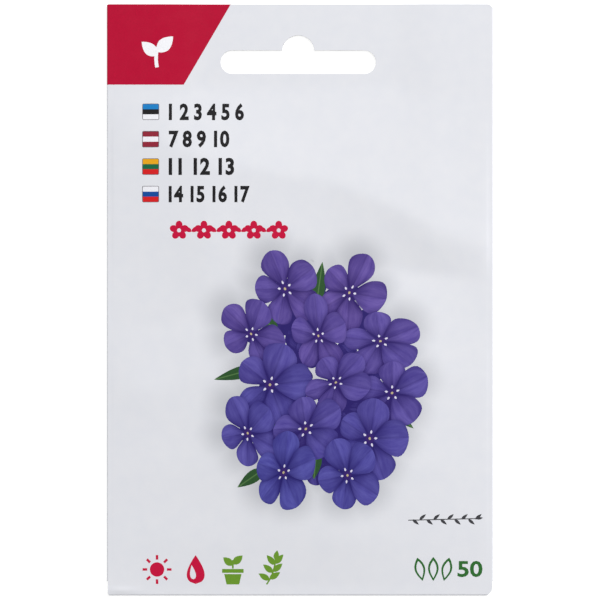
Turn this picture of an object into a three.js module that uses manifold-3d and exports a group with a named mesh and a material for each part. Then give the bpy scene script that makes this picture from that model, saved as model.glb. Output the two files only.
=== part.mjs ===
// A flat paper seed packet with a hang slot, lying on its back: +X to the packet's right,
// +Y to its top edge, +Z out of its printed front. The origin is under the middle, at floor level.
//
// One sheet of laminated paper makes the envelope. Its front panel has a narrow flap folded in
// behind each side, and its back panel is folded up from the bottom edge and glued to both flaps.
// The flat header above the pouch is glued shut and punched through for a shop peg.
// Inside lies a small sealed sachet of two films that holds the coated seeds.
import * as THREE from "three";
import { mergeVertices } from "three/addons/utils/BufferGeometryUtils.js";
import Module from "manifold-3d";

// Driving dimensions, in millimetres.
const WIDTH = 80; // over the two side folds
const HEIGHT = 122.5; // bottom fold to cut top edge
const PAPER = 0.15; // laminated paper
const GLUE = 0.1; // a set line of glue
const AIR = 0.01; // between a glue line and the sheets it holds
const BACK_WIDTH = 79.2; // the back panel, a little inside the side folds
const FLAP_WIDTH = 12; // side flaps, from the fold to the free edge
const FLAP_TAPER = 2.5; // how far a flap's free edge is cut back at each end
const FLAP_FOOT = 3; // from the bottom fold up to a flap's lower end

// How finely the curved pieces are faceted.
const CELL = 3; // longest step between two rows or columns of the front panel
const BACK_CELL = 20; // longest step between two rows of the flat back panel
const FILM_CELL = 2.5; // longest step over the front film
const FOLD_STEPS = 4; // round the bottom fold
const CORNER_CELL = 0.3; // longest step between two rows at the bottom corners
const ARC_STEPS = 12; // along each arc of a cut outline

// Hang slot: a 32 mm slot with round ends and a peg notch in its upper edge.
const SLOT_LENGTH = 32.2;
const SLOT_HEIGHT = 4.85;
const SLOT_CENTRE_X = -0.36;
const SLOT_CENTRE_Y = 49.3;
const NOTCH_RADIUS = 3.35;
const NOTCH_CENTRE_Y = 51.5;
const CORNER_RIGHT = 1.3; // the top corners, which are cut round
const CORNER_LEFT = 0.4;
const FOOT_CORNER_RIGHT = 1.7; // the bottom corners, which are rounded by wear
const FOOT_CORNER_LEFT = 0.6;

// The header is glued to the back panel between the side flaps.
const EDGE_Z = 0.575; // height of the sheet's middle layer along the side folds and the bottom fold
const HEADER_Z = 0.325; // the same where the header is glued flat
const HEADER_FOOT = 44; // lower edge of the flat header
const HEADER_FLAT = 19.5; // half width of the part of the header that is glued flat
const HEADER_RISE = 27.2; // half width at which the header has risen over the side flaps

// Relief of the front panel. It is made of nearly flat facets between lines that run across it.
// Each line has its y and its height z at every x of RELIEF_X.
const RELIEF_X = [-39.8, -38.6, -HEADER_RISE, -HEADER_FLAT, -6, 6, HEADER_FLAT, HEADER_RISE, 38.6, 39.8];
const RELIEF = [
  // lower edge of the header
  { y: [44, 44, 43, HEADER_FOOT, HEADER_FOOT, HEADER_FOOT, HEADER_FOOT, 42, 42, 42],
    z: [EDGE_Z, EDGE_Z, EDGE_Z, HEADER_Z, HEADER_Z, HEADER_Z, HEADER_Z, EDGE_Z, EDGE_Z, EDGE_Z] },
  // crease below the header, an arch that falls to the right
  { y: [33, 33, 32, 29, 26.3, 24.6, 19, 14.9, 11.2, 10.7],
    z: [EDGE_Z, 0.68, 1.2, 1.5, 1.5, 1.3, 1.38, 1.4, 0.84, EDGE_Z] },
  // where it falls off more steeply
  { y: [14, 14, 14, 14, 14, 14, 13.5, 12.5, 10, 9.5],
    z: [EDGE_Z, 0.68, 1.12, 1.42, 1.25, 0.92, 1.05, 1.3, 0.82, EDGE_Z] },
  // dip above the belly
  { y: [-6, -6, -5, -2, 4, 8, 6.5, 5.4, 4, 3.7],
    z: [EDGE_Z, 0.59, 0.62, 0.78, 0.95, 0.66, 0.62, 0.6, 0.6, EDGE_Z] },
  // upper and lower end of the belly over the seeds
  { y: [-20, -20, -18, -15, -12, -12, -13, -15, -17.5, -18],
    z: [EDGE_Z, 0.64, 1, 1.34, 2.05, 2.1, 1.8, 1.34, 0.7, EDGE_Z] },
  { y: [-34, -34, -34, -34, -34, -34, -34, -34, -34, -34],
    z: [EDGE_Z, 0.62, 0.96, 1.28, 1.84, 1.9, 1.6, 1.2, 0.68, EDGE_Z] },
  // slope down to the bottom fold
  { y: [-47, -47, -48, -49, -50, -50, -49, -48, -47, -47],
    z: [EDGE_Z, 0.62, 0.84, 0.96, 1.12, 1.14, 1.04, 0.9, 0.64, EDGE_Z] },
  { y: [-58.6, -58.6, -58.6, -58.6, -58.6, -58.6, -58.6, -58.6, -58.6, -58.6],
    z: [EDGE_Z, 0.58, 0.6, 0.62, 0.63, 0.63, 0.62, 0.6, 0.58, EDGE_Z] },
];

// Soft dents and bumps in it: middle, half axes and height.
const DENTS = [
  { x: -33, y: -19, across: 7, along: 5, height: 0.12 },
  { x: -29, y: -36, across: 7, along: 5, height: 0.08 },
  { x: -19, y: -50, across: 7, along: 4, height: 0.05 },
  { x: 12, y: -50, across: 9, along: 4, height: 0.07 },
  { x: -3, y: 36, across: 6, along: 5, height: -0.05 },
];
const DENT_FADE = 6; // they fade out over this width beside the side folds

// Glue lines.
const HEADER_GLUE_SIDE = 1; // the header's glue stops this far inside the flat header,
const HEADER_GLUE_TOP = 1.5; // below the top edge,
const HEADER_GLUE_FOOT = 0.5; // above the header's lower edge
const HEADER_GLUE_SLOT = 0.8; // and round the slot
const SEAM_WIDTH = 7;
const SEAM_LENGTH = 106;
const SEAM_INSET = 0.5; // from a flap's middle towards the packet's middle

// Sachet and seeds.
const FILM = 0.08;
const FILM_REST = 0.05; // between the back panel and the sachet
const FILM_SLACK = 0.08; // between the top of a seed and the front film
const SACHET_WIDTH = 54;
const SACHET_LENGTH = 62;
const SACHET_Y = -22;
const SACHET_SEAL = 5; // width of the flat seal round the sachet
const BULGE_REACH = 1.55; // the film is flat again at this many times the seeds' half axes
const SEEDS = 50;
const SEED_DIAMETER = 1.2; // a tiny seed in its round coating
const SEED_SPREAD_X = 11; // half axes of the patch that the seeds lie in
const SEED_SPREAD_Y = 11;
const SEED_PATCH_X = 3; // middle of that patch
const SEED_PATCH_Y = -23;
const SEED_SPACING = 1.9; // least distance between two seeds' centres
const SEED_CLEARANCE = 0.03; // between a seed and the film under it
const SEED_SIDES = 8;
const SEED_RINGS = 4;
const SEED_DRAW = 7; // start of the random numbers that place the seeds

// Places that follow from the sizes above.
const BACK_Z = PAPER / 2; // middle of the back panel
const FLAP_Z = PAPER + GLUE + PAPER / 2; // middle of the side flaps
const SIDE_BEND = (EDGE_Z - FLAP_Z) / 2; // bend radius of the side folds, at mid-paper
const FOOT_BEND = (EDGE_Z - BACK_Z) / 2; // bend radius of the bottom fold, at mid-paper
const EDGE_X = WIDTH / 2 - SIDE_BEND - PAPER / 2; // where the front panel meets a side fold
const TOP_Y = HEIGHT / 2;
const FOOT_Y = -HEIGHT / 2 + FOOT_BEND + PAPER / 2; // where it meets the bottom fold
const FLAP_END_Y = -HEIGHT / 2 + FLAP_FOOT;
const BACK_FILM_Z = PAPER + FILM_REST + FILM / 2; // middle of the sachet's back film
const FRONT_FILM_Z = BACK_FILM_Z + FILM + AIR; // where the front film is sealed to it
const FILM_BULGE_Z = BACK_FILM_Z + FILM + SEED_CLEARANCE + SEED_DIAMETER + FILM_SLACK;
const PUNCH_MARGIN = 1; // how far a punch reaches past the paper
const SLOPE_STEP = 0.05; // a slope is measured this far to both sides of a point
const TINY = 1e-9; // two equal places differ by less than this

const group = new THREE.Group();

const paper = new THREE.MeshStandardMaterial({ color: 0xe6e7ec, roughness: 0.45, metalness: 0 });
const glue = new THREE.MeshStandardMaterial({ color: 0xe9e4d2, roughness: 0.4, metalness: 0 });
const film = new THREE.MeshStandardMaterial({
  color: 0xdfe6ea,
  roughness: 0.15,
  metalness: 0,
  transparent: true,
  opacity: 0.6,
});
const seedCoat = new THREE.MeshStandardMaterial({ color: 0xc9b48c, roughness: 0.8, metalness: 0 });

function addPiece(name, geometry, material) {
  const mesh = new THREE.Mesh(geometry, material);
  mesh.name = name;
  group.add(mesh);
  return mesh;
}

// Eases from 0 to 1 with level ends.
function ease(u) {
  const t = Math.min(Math.max(u, 0), 1);
  return t * t * (3 - 2 * t);
}

// A value between those that a line of the relief has at RELIEF_X.
function between(values, x) {
  let i = 0;
  while (i + 2 < RELIEF_X.length && x > RELIEF_X[i + 1]) i++;
  const share = (x - RELIEF_X[i]) / (RELIEF_X[i + 1] - RELIEF_X[i]);
  return values[i] + (values[i + 1] - values[i]) * share;
}

// How far the dents and bumps lift the sheet. They fade out towards the side folds.
function dentZ(x, y) {
  let lift = 0;
  for (const dent of DENTS) {
    const away = ((x - dent.x) / dent.across) ** 2 + ((y - dent.y) / dent.along) ** 2;
    lift += dent.height * Math.exp(-away);
  }
  return lift * ease((EDGE_X - Math.abs(x)) / DENT_FADE);
}

// Height of the front panel's middle layer.
function frontZ(x, y) {
  const u = Math.min(Math.max(x, -EDGE_X), EDGE_X);
  const lines = RELIEF.map((line) => [between(line.y, u), between(line.z, u)]);
  lines.push([FOOT_Y, EDGE_Z]);
  if (y >= lines[0][0]) return lines[0][1];
  const below = lines.findIndex(([lineY]) => y >= lineY);
  if (below < 0) return EDGE_Z;
  const [y0, z0] = lines[below - 1];
  const [y1, z1] = lines[below];
  return z0 + ((z1 - z0) * (y0 - y)) / (y0 - y1) + dentZ(u, y);
}

// How far a rounded bottom corner draws the side in at the height y, as a share of the half width.
function footNarrowing(x, y) {
  const radius = x > 0 ? FOOT_CORNER_RIGHT : FOOT_CORNER_LEFT;
  const past = Math.min(Math.max(radius - HEIGHT / 2 - y, 0), radius);
  return 1 - (radius - Math.sqrt(radius ** 2 - past ** 2)) / EDGE_X;
}

// Values from the first mark to the last, with even steps no longer than step between them.
function stations(marks, step) {
  const values = [marks[0]];
  for (let i = 0; i + 1 < marks.length; i++) {
    const span = marks[i + 1] - marks[i];
    const parts = Math.max(1, Math.ceil(Math.abs(span) / step - TINY));
    for (let k = 1; k <= parts; k++) values.push(marks[i] + (span * k) / parts);
  }
  return values;
}

// A closed sheet of the given thickness round a grid of points. place(i, j) gives a point of its
// middle layer and the unit normal there, and holds(i, j) says whether cell i, j is paper.
function sheet(columns, rows, place, holds, thickness) {
  const positions = [];
  const index = [];
  const corner = new Map();
  const at = (i, j, side) => {
    const key = `${i},${j},${side}`;
    if (!corner.has(key)) {
      const { point, normal } = place(i, j);
      corner.set(key, positions.length / 3);
      positions.push(...point.clone().addScaledVector(normal, (side * thickness) / 2).toArray());
    }
    return corner.get(key);
  };
  const quad = (a, b, c, d) => index.push(a, b, c, a, c, d);
  const inside = (i, j) => i >= 0 && j >= 0 && i < columns && j < rows && holds(i, j);
  for (let i = 0; i < columns; i++) {
    for (let j = 0; j < rows; j++) {
      if (!inside(i, j)) continue;
      quad(at(i, j, 1), at(i, j + 1, 1), at(i + 1, j + 1, 1), at(i + 1, j, 1));
      quad(at(i, j, -1), at(i + 1, j, -1), at(i + 1, j + 1, -1), at(i, j + 1, -1));
      const edges = [
        [i - 1, j, [i, j], [i, j + 1]],
        [i, j + 1, [i, j + 1], [i + 1, j + 1]],
        [i + 1, j, [i + 1, j + 1], [i + 1, j]],
        [i, j - 1, [i + 1, j], [i, j]],
      ];
      for (const [ni, nj, from, to] of edges) {
        if (!inside(ni, nj)) quad(at(...to, 1), at(...from, 1), at(...from, -1), at(...to, -1));
      }
    }
  }
  const geometry = new THREE.BufferGeometry();
  geometry.setAttribute("position", new THREE.Float32BufferAttribute(positions, 3));
  geometry.setIndex(index);
  return geometry;
}

// The unit normal of the front panel, from its slopes.
function frontNormal(x, y) {
  const rise = (dx, dy) => frontZ(x + dx, y + dy) - frontZ(x - dx, y - dy);
  const slopeX = rise(SLOPE_STEP, 0) / (2 * SLOPE_STEP);
  const slopeY = rise(0, SLOPE_STEP) / (2 * SLOPE_STEP);
  return new THREE.Vector3(-slopeX, -slopeY, 1).normalize();
}

// The whole envelope before it is punched: the front panel's rows go on round the bottom fold
// into the back panel, and its outer columns go on round the side folds into the flaps.
function envelopeSheet() {
  const xs = stations(RELIEF_X, CELL);
  const cornerTop = FOOT_CORNER_RIGHT - HEIGHT / 2;
  const cornerYs = stations([cornerTop, FOOT_Y], CORNER_CELL);
  const frontYs = [...stations([TOP_Y, HEADER_FOOT, FLAP_END_Y, cornerTop], CELL), ...cornerYs.slice(1)];
  const upperBackYs = stations([cornerTop, HEADER_FOOT, TOP_Y], BACK_CELL).slice(1);
  const backYs = [...cornerYs.slice().reverse(), ...upperBackYs];
  const foldAngles = stations([0, Math.PI], Math.PI / FOLD_STEPS).slice(1, -1);
  const flapEndRow = frontYs.findIndex((y) => Math.abs(y - FLAP_END_Y) < TINY);
  // Columns of one flap, from the fold inwards: two steps round the bend, then the flat flap.
  const bend = [{ angle: Math.PI / 2 }, { angle: Math.PI }];
  const flapColumns = [...bend, { reach: FLAP_WIDTH / 2 }, { reach: FLAP_WIDTH }];
  const first = flapColumns.length; // index of the front panel's left column
  const last = first + xs.length - 1;
  const columns = last + flapColumns.length;
  const rows = frontYs.length + foldAngles.length + backYs.length - 1;
  const midY = (TOP_Y + FLAP_END_Y) / 2;
  const halfY = (TOP_Y - FLAP_END_Y) / 2;

  const placeFlap = (side, step, y) => {
    const { angle, reach } = step;
    if (angle !== undefined) {
      const normal = new THREE.Vector3(side * Math.sin(angle), 0, Math.cos(angle));
      const centre = new THREE.Vector3(side * EDGE_X, y, (EDGE_Z + FLAP_Z) / 2);
      return { point: centre.addScaledVector(normal, SIDE_BEND), normal };
    }
    const drawn = 1 - ((reach / FLAP_WIDTH) * FLAP_TAPER) / halfY;
    const point = new THREE.Vector3(side * (EDGE_X - reach), midY + (y - midY) * drawn, FLAP_Z);
    return { point, normal: new THREE.Vector3(0, 0, -1) };
  };

  const placePanel = (x, j) => {
    if (j < frontYs.length) {
      const y = frontYs[j];
      const rim = Math.abs(x) === EDGE_X || y === FOOT_Y;
      const normal = rim ? new THREE.Vector3(0, 0, 1) : frontNormal(x, y);
      return { point: new THREE.Vector3(x * footNarrowing(x, y), y, frontZ(x, y)), normal };
    }
    const step = j - frontYs.length;
    const backX = (x * BACK_WIDTH) / 2 / EDGE_X;
    if (step < foldAngles.length) {
      const angle = foldAngles[step];
      const normal = new THREE.Vector3(0, -Math.sin(angle), Math.cos(angle));
      const foldX = (x + (backX - x) * (angle / Math.PI)) * footNarrowing(x, FOOT_Y);
      const centre = new THREE.Vector3(foldX, FOOT_Y, (EDGE_Z + BACK_Z) / 2);
      return { point: centre.addScaledVector(normal, FOOT_BEND), normal };
    }
    const y = backYs[step - foldAngles.length];
    const point = new THREE.Vector3(backX * footNarrowing(x, y), y, BACK_Z);
    return { point, normal: new THREE.Vector3(0, 0, -1) };
  };

  const place = (i, j) => {
    if (i < first) return placeFlap(-1, flapColumns[first - 1 - i], frontYs[j]);
    if (i > last) return placeFlap(1, flapColumns[i - last - 1], frontYs[j]);
    return placePanel(xs[i - first], j);
  };
  const holds = (i, j) => (i >= first && i < last) || j < flapEndRow;
  return sheet(columns, rows, place, holds, PAPER);
}

// Outline of the hang slot, counter-clockwise, grown by margin on every side.
function slotShape(margin) {
  const half = SLOT_HEIGHT / 2 + margin;
  const reach = SLOT_LENGTH / 2 - SLOT_HEIGHT / 2;
  const notch = NOTCH_RADIUS + margin;
  const shape = new THREE.Shape();
  const turn = Math.asin((SLOT_CENTRE_Y + half - NOTCH_CENTRE_Y) / notch);
  shape.absarc(SLOT_CENTRE_X + reach, SLOT_CENTRE_Y, half, -Math.PI / 2, Math.PI / 2, false);
  shape.absarc(SLOT_CENTRE_X, NOTCH_CENTRE_Y, notch, turn, Math.PI - turn, false);
  shape.absarc(SLOT_CENTRE_X - reach, SLOT_CENTRE_Y, half, Math.PI / 2, (3 * Math.PI) / 2, false);
  shape.closePath();
  return shape;
}

// What is cut away at a top corner to leave it round. side is -1 at the left and 1 at the right.
function cornerShape(side, radius) {
  const shape = new THREE.Shape();
  const arcX = side * (WIDTH / 2 - radius);
  const outerX = side * (WIDTH / 2 + PUNCH_MARGIN);
  shape.moveTo(arcX, TOP_Y);
  shape.absarc(arcX, TOP_Y - radius, radius, Math.PI / 2, side > 0 ? 0 : Math.PI, side > 0);
  shape.lineTo(outerX, TOP_Y - radius);
  shape.lineTo(outerX, TOP_Y + PUNCH_MARGIN);
  shape.lineTo(arcX, TOP_Y + PUNCH_MARGIN);
  shape.closePath();
  return shape;
}

// A flat shape made into a plate of the given depth, from the height bottom upwards.
function plate(shape, bottom, depth) {
  const options = { depth, bevelEnabled: false, curveSegments: ARC_STEPS };
  return new THREE.ExtrudeGeometry(shape, options).translate(0, 0, bottom);
}

const wasm = await Module();
wasm.setup();

// A closed geometry as a solid that can be cut.
function solid(geometry) {
  const bare = geometry.clone();
  bare.deleteAttribute("normal");
  bare.deleteAttribute("uv");
  const merged = mergeVertices(bare);
  return new wasm.Manifold(
    new wasm.Mesh({
      numProp: 3,
      vertProperties: merged.attributes.position.array,
      triVerts: new Uint32Array(merged.index.array),
    }),
  );
}

function geometryOf(manifold) {
  const mesh = manifold.getMesh();
  const geometry = new THREE.BufferGeometry();
  geometry.setAttribute("position", new THREE.Float32BufferAttribute(mesh.vertProperties, 3));
  geometry.setIndex(new THREE.BufferAttribute(new Uint32Array(mesh.triVerts), 1));
  geometry.computeVertexNormals();
  return geometry;
}

// The envelope, with the slot punched through both panels and the top corners rounded.
const punches = [slotShape(0), cornerShape(1, CORNER_RIGHT), cornerShape(-1, CORNER_LEFT)];
const punchDepth = EDGE_Z + 2 * PUNCH_MARGIN;
let envelope = solid(envelopeSheet());
for (const shape of punches) {
  envelope = envelope.subtract(solid(plate(shape, -PUNCH_MARGIN, punchDepth)));
}
addPiece("packet_paper", geometryOf(envelope), paper);

// Glue between the two panels in the header, round the slot.
function headerGlue() {
  const halfWidth = HEADER_FLAT - HEADER_GLUE_SIDE;
  const top = TOP_Y - HEADER_GLUE_TOP;
  const bottom = HEADER_FOOT + HEADER_GLUE_FOOT;
  const shape = new THREE.Shape();
  shape.moveTo(-halfWidth, bottom);
  shape.lineTo(halfWidth, bottom);
  shape.lineTo(halfWidth, top);
  shape.lineTo(-halfWidth, top);
  shape.closePath();
  shape.holes.push(new THREE.Path(slotShape(HEADER_GLUE_SLOT).getPoints(ARC_STEPS).reverse()));
  return plate(shape, PAPER + AIR, GLUE - 2 * AIR);
}
addPiece("header_glue", headerGlue(), glue);

// Glue between each side flap and the back panel.
const seamX = EDGE_X - FLAP_WIDTH / 2 - SEAM_INSET;
const seamY = (TOP_Y + FLAP_END_Y) / 2;
for (const [name, side] of [["left_seam_glue", -1], ["right_seam_glue", 1]]) {
  const strip = new THREE.BoxGeometry(SEAM_WIDTH, SEAM_LENGTH, GLUE - 2 * AIR);
  strip.translate(side * seamX, seamY, PAPER + GLUE / 2);
  addPiece(name, strip, glue);
}

// The sachet's back film lies on the back panel.
const backFilm = new THREE.BoxGeometry(SACHET_WIDTH, SACHET_LENGTH, FILM);
addPiece("sachet_back_film", backFilm.translate(0, SACHET_Y, BACK_FILM_Z), film);

// The front film is flat along its seal and stands up over the seeds.
function frontFilm() {
  const halfX = SACHET_WIDTH / 2;
  const halfY = SACHET_LENGTH / 2;
  const flatX = halfX - SACHET_SEAL;
  const flatY = halfY - SACHET_SEAL;
  const fullX = SEED_SPREAD_X + SEED_DIAMETER; // the bulge is full out to here
  const fullY = SEED_SPREAD_Y + SEED_DIAMETER;
  const patchV = SEED_PATCH_Y - SACHET_Y;
  const xs = stations([-halfX, -flatX, flatX, halfX], FILM_CELL);
  const ys = stations([halfY, flatY, -flatY, -halfY], FILM_CELL);
  const place = (i, j) => {
    const away = Math.hypot((xs[i] - SEED_PATCH_X) / fullX, (ys[j] - patchV) / fullY);
    const swell = ease((BULGE_REACH - away) / (BULGE_REACH - 1));
    const z = FRONT_FILM_Z + (FILM_BULGE_Z - FRONT_FILM_Z) * swell;
    return { point: new THREE.Vector3(xs[i], SACHET_Y + ys[j], z), normal: new THREE.Vector3(0, 0, 1) };
  };
  return sheet(xs.length - 1, ys.length - 1, place, () => true, FILM);
}
addPiece("sachet_front_film", frontFilm(), film);

// Even random numbers from 0 to 1, the same each time, by the usual 32-bit linear rule.
function seededRandom(seed) {
  let state = seed;
  return () => {
    state = (Math.imul(state, 1664525) + 1013904223) >>> 0;
    return state / 2 ** 32;
  };
}

// Coated seeds in one loose layer on the back film, never closer than SEED_SPACING.
const random = seededRandom(SEED_DRAW);
const seedPlaces = [];
while (seedPlaces.length < SEEDS) {
  const angle = 2 * Math.PI * random();
  const reach = Math.sqrt(random());
  const x = SEED_PATCH_X + SEED_SPREAD_X * reach * Math.cos(angle);
  const y = SEED_PATCH_Y + SEED_SPREAD_Y * reach * Math.sin(angle);
  const clear = seedPlaces.every(([sx, sy]) => Math.hypot(sx - x, sy - y) >= SEED_SPACING);
  if (clear) seedPlaces.push([x, y]);
}
const seedZ = BACK_FILM_Z + FILM / 2 + SEED_CLEARANCE + SEED_DIAMETER / 2;
seedPlaces.forEach(([x, y], i) => {
  const seed = new THREE.SphereGeometry(SEED_DIAMETER / 2, SEED_SIDES, SEED_RINGS);
  seed.rotateX(Math.PI / 2);
  const name = `seed_${String(i + 1).padStart(2, "0")}`;
  addPiece(name, seed, seedCoat).position.set(x, y, seedZ);
});

export default group;
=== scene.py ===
import random
from collections import namedtuple
from math import asin, ceil, copysign, cos, hypot, pi, radians, sin, sqrt

import bmesh
import bpy
import numpy as np
from mathutils import Matrix, Vector, noise
from mathutils.geometry import delaunay_2d_cdt


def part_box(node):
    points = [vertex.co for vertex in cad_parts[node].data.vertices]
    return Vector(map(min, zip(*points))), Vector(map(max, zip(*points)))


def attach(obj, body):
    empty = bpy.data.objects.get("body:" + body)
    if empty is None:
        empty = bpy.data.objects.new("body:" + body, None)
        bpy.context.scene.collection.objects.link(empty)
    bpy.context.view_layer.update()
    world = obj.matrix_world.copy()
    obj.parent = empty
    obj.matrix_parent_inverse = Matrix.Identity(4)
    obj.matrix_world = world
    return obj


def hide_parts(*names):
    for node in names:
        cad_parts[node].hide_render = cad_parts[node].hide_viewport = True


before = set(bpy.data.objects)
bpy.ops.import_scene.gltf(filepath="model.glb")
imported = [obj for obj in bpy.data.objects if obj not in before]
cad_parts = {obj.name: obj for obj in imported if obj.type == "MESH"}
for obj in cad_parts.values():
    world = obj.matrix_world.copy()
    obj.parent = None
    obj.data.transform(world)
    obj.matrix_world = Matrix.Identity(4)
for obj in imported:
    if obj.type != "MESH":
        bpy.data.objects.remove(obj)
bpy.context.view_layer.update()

# Sizes are in millimetres, and a mesh is scaled to metres as it is made.
MM = 0.001

# The envelope, as in the CAD model.
WIDTH = 80
HEIGHT = 122.5
PAPER = 0.15
GLUE = 0.1
BACK_WIDTH = 79.2
FLAP_WIDTH = 12
FLAP_TAPER = 2.5
FLAP_FOOT = 3
SLOT_LENGTH = 32.2
SLOT_HEIGHT = 4.85
SLOT_CENTRE_X = -0.36
SLOT_CENTRE_Y = 49.3
NOTCH_RADIUS = 3.35
NOTCH_CENTRE_Y = 51.5
CORNER_RIGHT = 1.3
CORNER_LEFT = 0.4
FOOT_CORNER_RIGHT = 1.7
FOOT_CORNER_LEFT = 0.6
EDGE_Z = 0.575
HEADER_Z = 0.325
HEADER_FOOT = 44
HEADER_FLAT = 19.5
HEADER_RISE = 27.2

# Places that follow from them.
BACK_Z = PAPER / 2
FLAP_Z = PAPER + GLUE + PAPER / 2
SIDE_BEND = (EDGE_Z - FLAP_Z) / 2
FOOT_BEND = (EDGE_Z - BACK_Z) / 2
EDGE_X = WIDTH / 2 - SIDE_BEND - PAPER / 2
TOP_Y = HEIGHT / 2
FOOT_Y = -HEIGHT / 2 + FOOT_BEND + PAPER / 2
FLAP_END_Y = -HEIGHT / 2 + FLAP_FOOT
SIDE_ARC = pi * SIDE_BEND
FOOT_ARC = pi * FOOT_BEND
FLAP_EDGE = EDGE_X + SIDE_ARC + FLAP_WIDTH
BACK_SQUEEZE = BACK_WIDTH / 2 / EDGE_X

# Fineness of the envelope's mesh and of the print's outlines.
CELL = 0.8
RIM_CELL = 0.2
RIM_WIDTH = 2
BACK_CELL = 2.4
SIDE_STEPS = 6
FOOT_STEPS = 10
ARC_STEPS = 28
DROP_STEPS = 14
PETAL_STEPS = 16

# Allowances for rounding.
ROUNDING = 1e-9
ON_EDGE = 1e-6


def ease(u):
    """Eases from 0 to 1 with level ends."""
    t = min(max(u, 0.0), 1.0)
    return t * t * (3 - 2 * t)


def stations(marks, step):
    """Values from the first mark to the last, with even steps no longer than step."""
    values = [marks[0]]
    for start, end in zip(marks, marks[1:]):
        parts = max(1, ceil(abs(end - start) / step - ROUNDING))
        values += [start + (end - start) * k / parts for k in range(1, parts + 1)]
    return values


def layered_noise(x, y, layers):
    """Soft unevenness: layers of noise with a size, a depth and a place of their own."""
    return sum(depth * noise.noise(Vector((x / size, y / size, z))) for size, depth, z in layers)


def add_object(name, data):
    made = bpy.data.objects.new(name, data)
    bpy.context.scene.collection.objects.link(made)
    return made


# Relief of the front panel: nearly flat facets between lines across it, as in the CAD model. Each
# line has its y and its height z at every x of RELIEF_X.
RELIEF_X = [-39.8, -38.6, -HEADER_RISE, -HEADER_FLAT, -6, 6, HEADER_FLAT, HEADER_RISE, 38.6, 39.8]
HEADER_LINE = [EDGE_Z] * 3 + [HEADER_Z] * 4 + [EDGE_Z] * 3


def line(ys, inner_zs):
    """A line across the panel. Both its ends lie on the side folds."""
    return ys, [EDGE_Z, *inner_zs, EDGE_Z]


RELIEF = [
    ([HEIGHT] * 10, HEADER_LINE),
    # lower edge of the header
    ([44, 44, 43, 44, 44, 44, 44, 42, 42, 42], HEADER_LINE),
    # crease below the header, an arch that falls to the right
    line([33, 33, 32, 29, 26.3, 24.6, 19, 14.9, 11.2, 10.7], [0.68, 1.2, 1.5, 1.5, 1.3, 1.38, 1.4, 0.84]),
    # where it falls off more steeply
    line([14, 14, 14, 14, 14, 14, 13.5, 12.5, 10, 9.5], [0.68, 1.12, 1.42, 1.25, 0.92, 1.05, 1.3, 0.82]),
    # dip above the belly
    line([-6, -6, -5, -2, 4, 8, 6.5, 5.4, 4, 3.7], [0.59, 0.62, 0.78, 0.95, 0.66, 0.62, 0.6, 0.6]),
    # upper and lower end of the belly over the seeds
    line([-20, -20, -18, -15, -12, -12, -13, -15, -17.5, -18], [0.64, 1, 1.34, 2.05, 2.1, 1.8, 1.34, 0.7]),
    line([-34] * 10, [0.62, 0.96, 1.28, 1.84, 1.9, 1.6, 1.2, 0.68]),
    # slope down to the bottom fold
    line(
        [-47, -47, -48, -49, -50, -50, -49, -48, -47, -47],
        [0.62, 0.84, 0.96, 1.12, 1.14, 1.04, 0.9, 0.64],
    ),
    line([-58.6] * 10, [0.58, 0.6, 0.62, 0.63, 0.63, 0.62, 0.6, 0.58]),
    ([FOOT_Y] * 10, [EDGE_Z] * 10),
]

# Soft dents and bumps in it: the middle's x and y, the half axes and the height.
DENTS = [
    (-33, -19, 7, 5, 0.12),
    (-29, -36, 7, 5, 0.08),
    (-19, -50, 7, 4, 0.05),
    (12, -50, 9, 4, 0.07),
    (-3, 36, 6, 5, -0.05),
]
DENT_FADE = 6

# The heights are worked out once, on a square grid that reaches a little past the panel.
GRID_STEP = 0.4
GRID_MARGIN = 4
GRID_X0 = -EDGE_X - GRID_MARGIN
GRID_Y0 = FOOT_Y - GRID_MARGIN
CREASE_RADIUS = 0.9
# The paper's unevenness, and how much of it the header has.
RUMPLES = [(19, 0.045, 3.1), (7, 0.016, 8.7), (2.6, 0.0035, 5.3)]
HEADER_RUMPLE = 0.4
# Over these widths the relief sinks to the height of the side folds and of the bottom fold.
SIDE_BLEND = 1.2
FOOT_BLEND = 3
# A small ridge along the left end of the bottom fold: middle, half axes and height.
FOOT_CREASE = (-37, -60.1, 3, 0.6, 0.1)


def bump(xs, ys, x, y, across, along, height):
    """A soft bump round (x, y), or a dent where the height is below zero."""
    return height * np.exp(-(((xs - x) / across) ** 2) - ((ys - y) / along) ** 2)


def faceted_heights(xs, ys):
    """The facets and the dents in them, with a row of the result for each y."""
    lines_y = [np.interp(xs, RELIEF_X, knots) for knots, _ in RELIEF]
    lines_z = [np.interp(xs, RELIEF_X, knots) for _, knots in RELIEF]
    rows = ys[:, None]
    heights = np.full((len(ys), len(xs)), EDGE_Z)
    for y0, z0, y1, z1 in zip(lines_y, lines_z, lines_y[1:], lines_z[1:]):
        share = (y0 - rows) / (y0 - y1)
        heights = np.where((share >= 0) & (share <= 1), z0 + (z1 - z0) * share, heights)
    fade = np.clip((EDGE_X - np.abs(xs)) / DENT_FADE, 0, 1)
    return heights + fade * sum(bump(xs, rows, *dent) for dent in DENTS)


def softened(heights, radius):
    """Rounds the creases between facets."""
    reach = ceil(3 * radius / GRID_STEP)
    kernel = np.exp(-0.5 * (np.arange(-reach, reach + 1) * GRID_STEP / radius) ** 2)
    kernel /= kernel.sum()
    for axis in (0, 1):
        padded = np.pad(heights, [(reach, reach) if k == axis else (0, 0) for k in (0, 1)], mode="edge")
        heights = np.apply_along_axis(np.convolve, axis, padded, kernel, mode="valid")
    return heights


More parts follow.
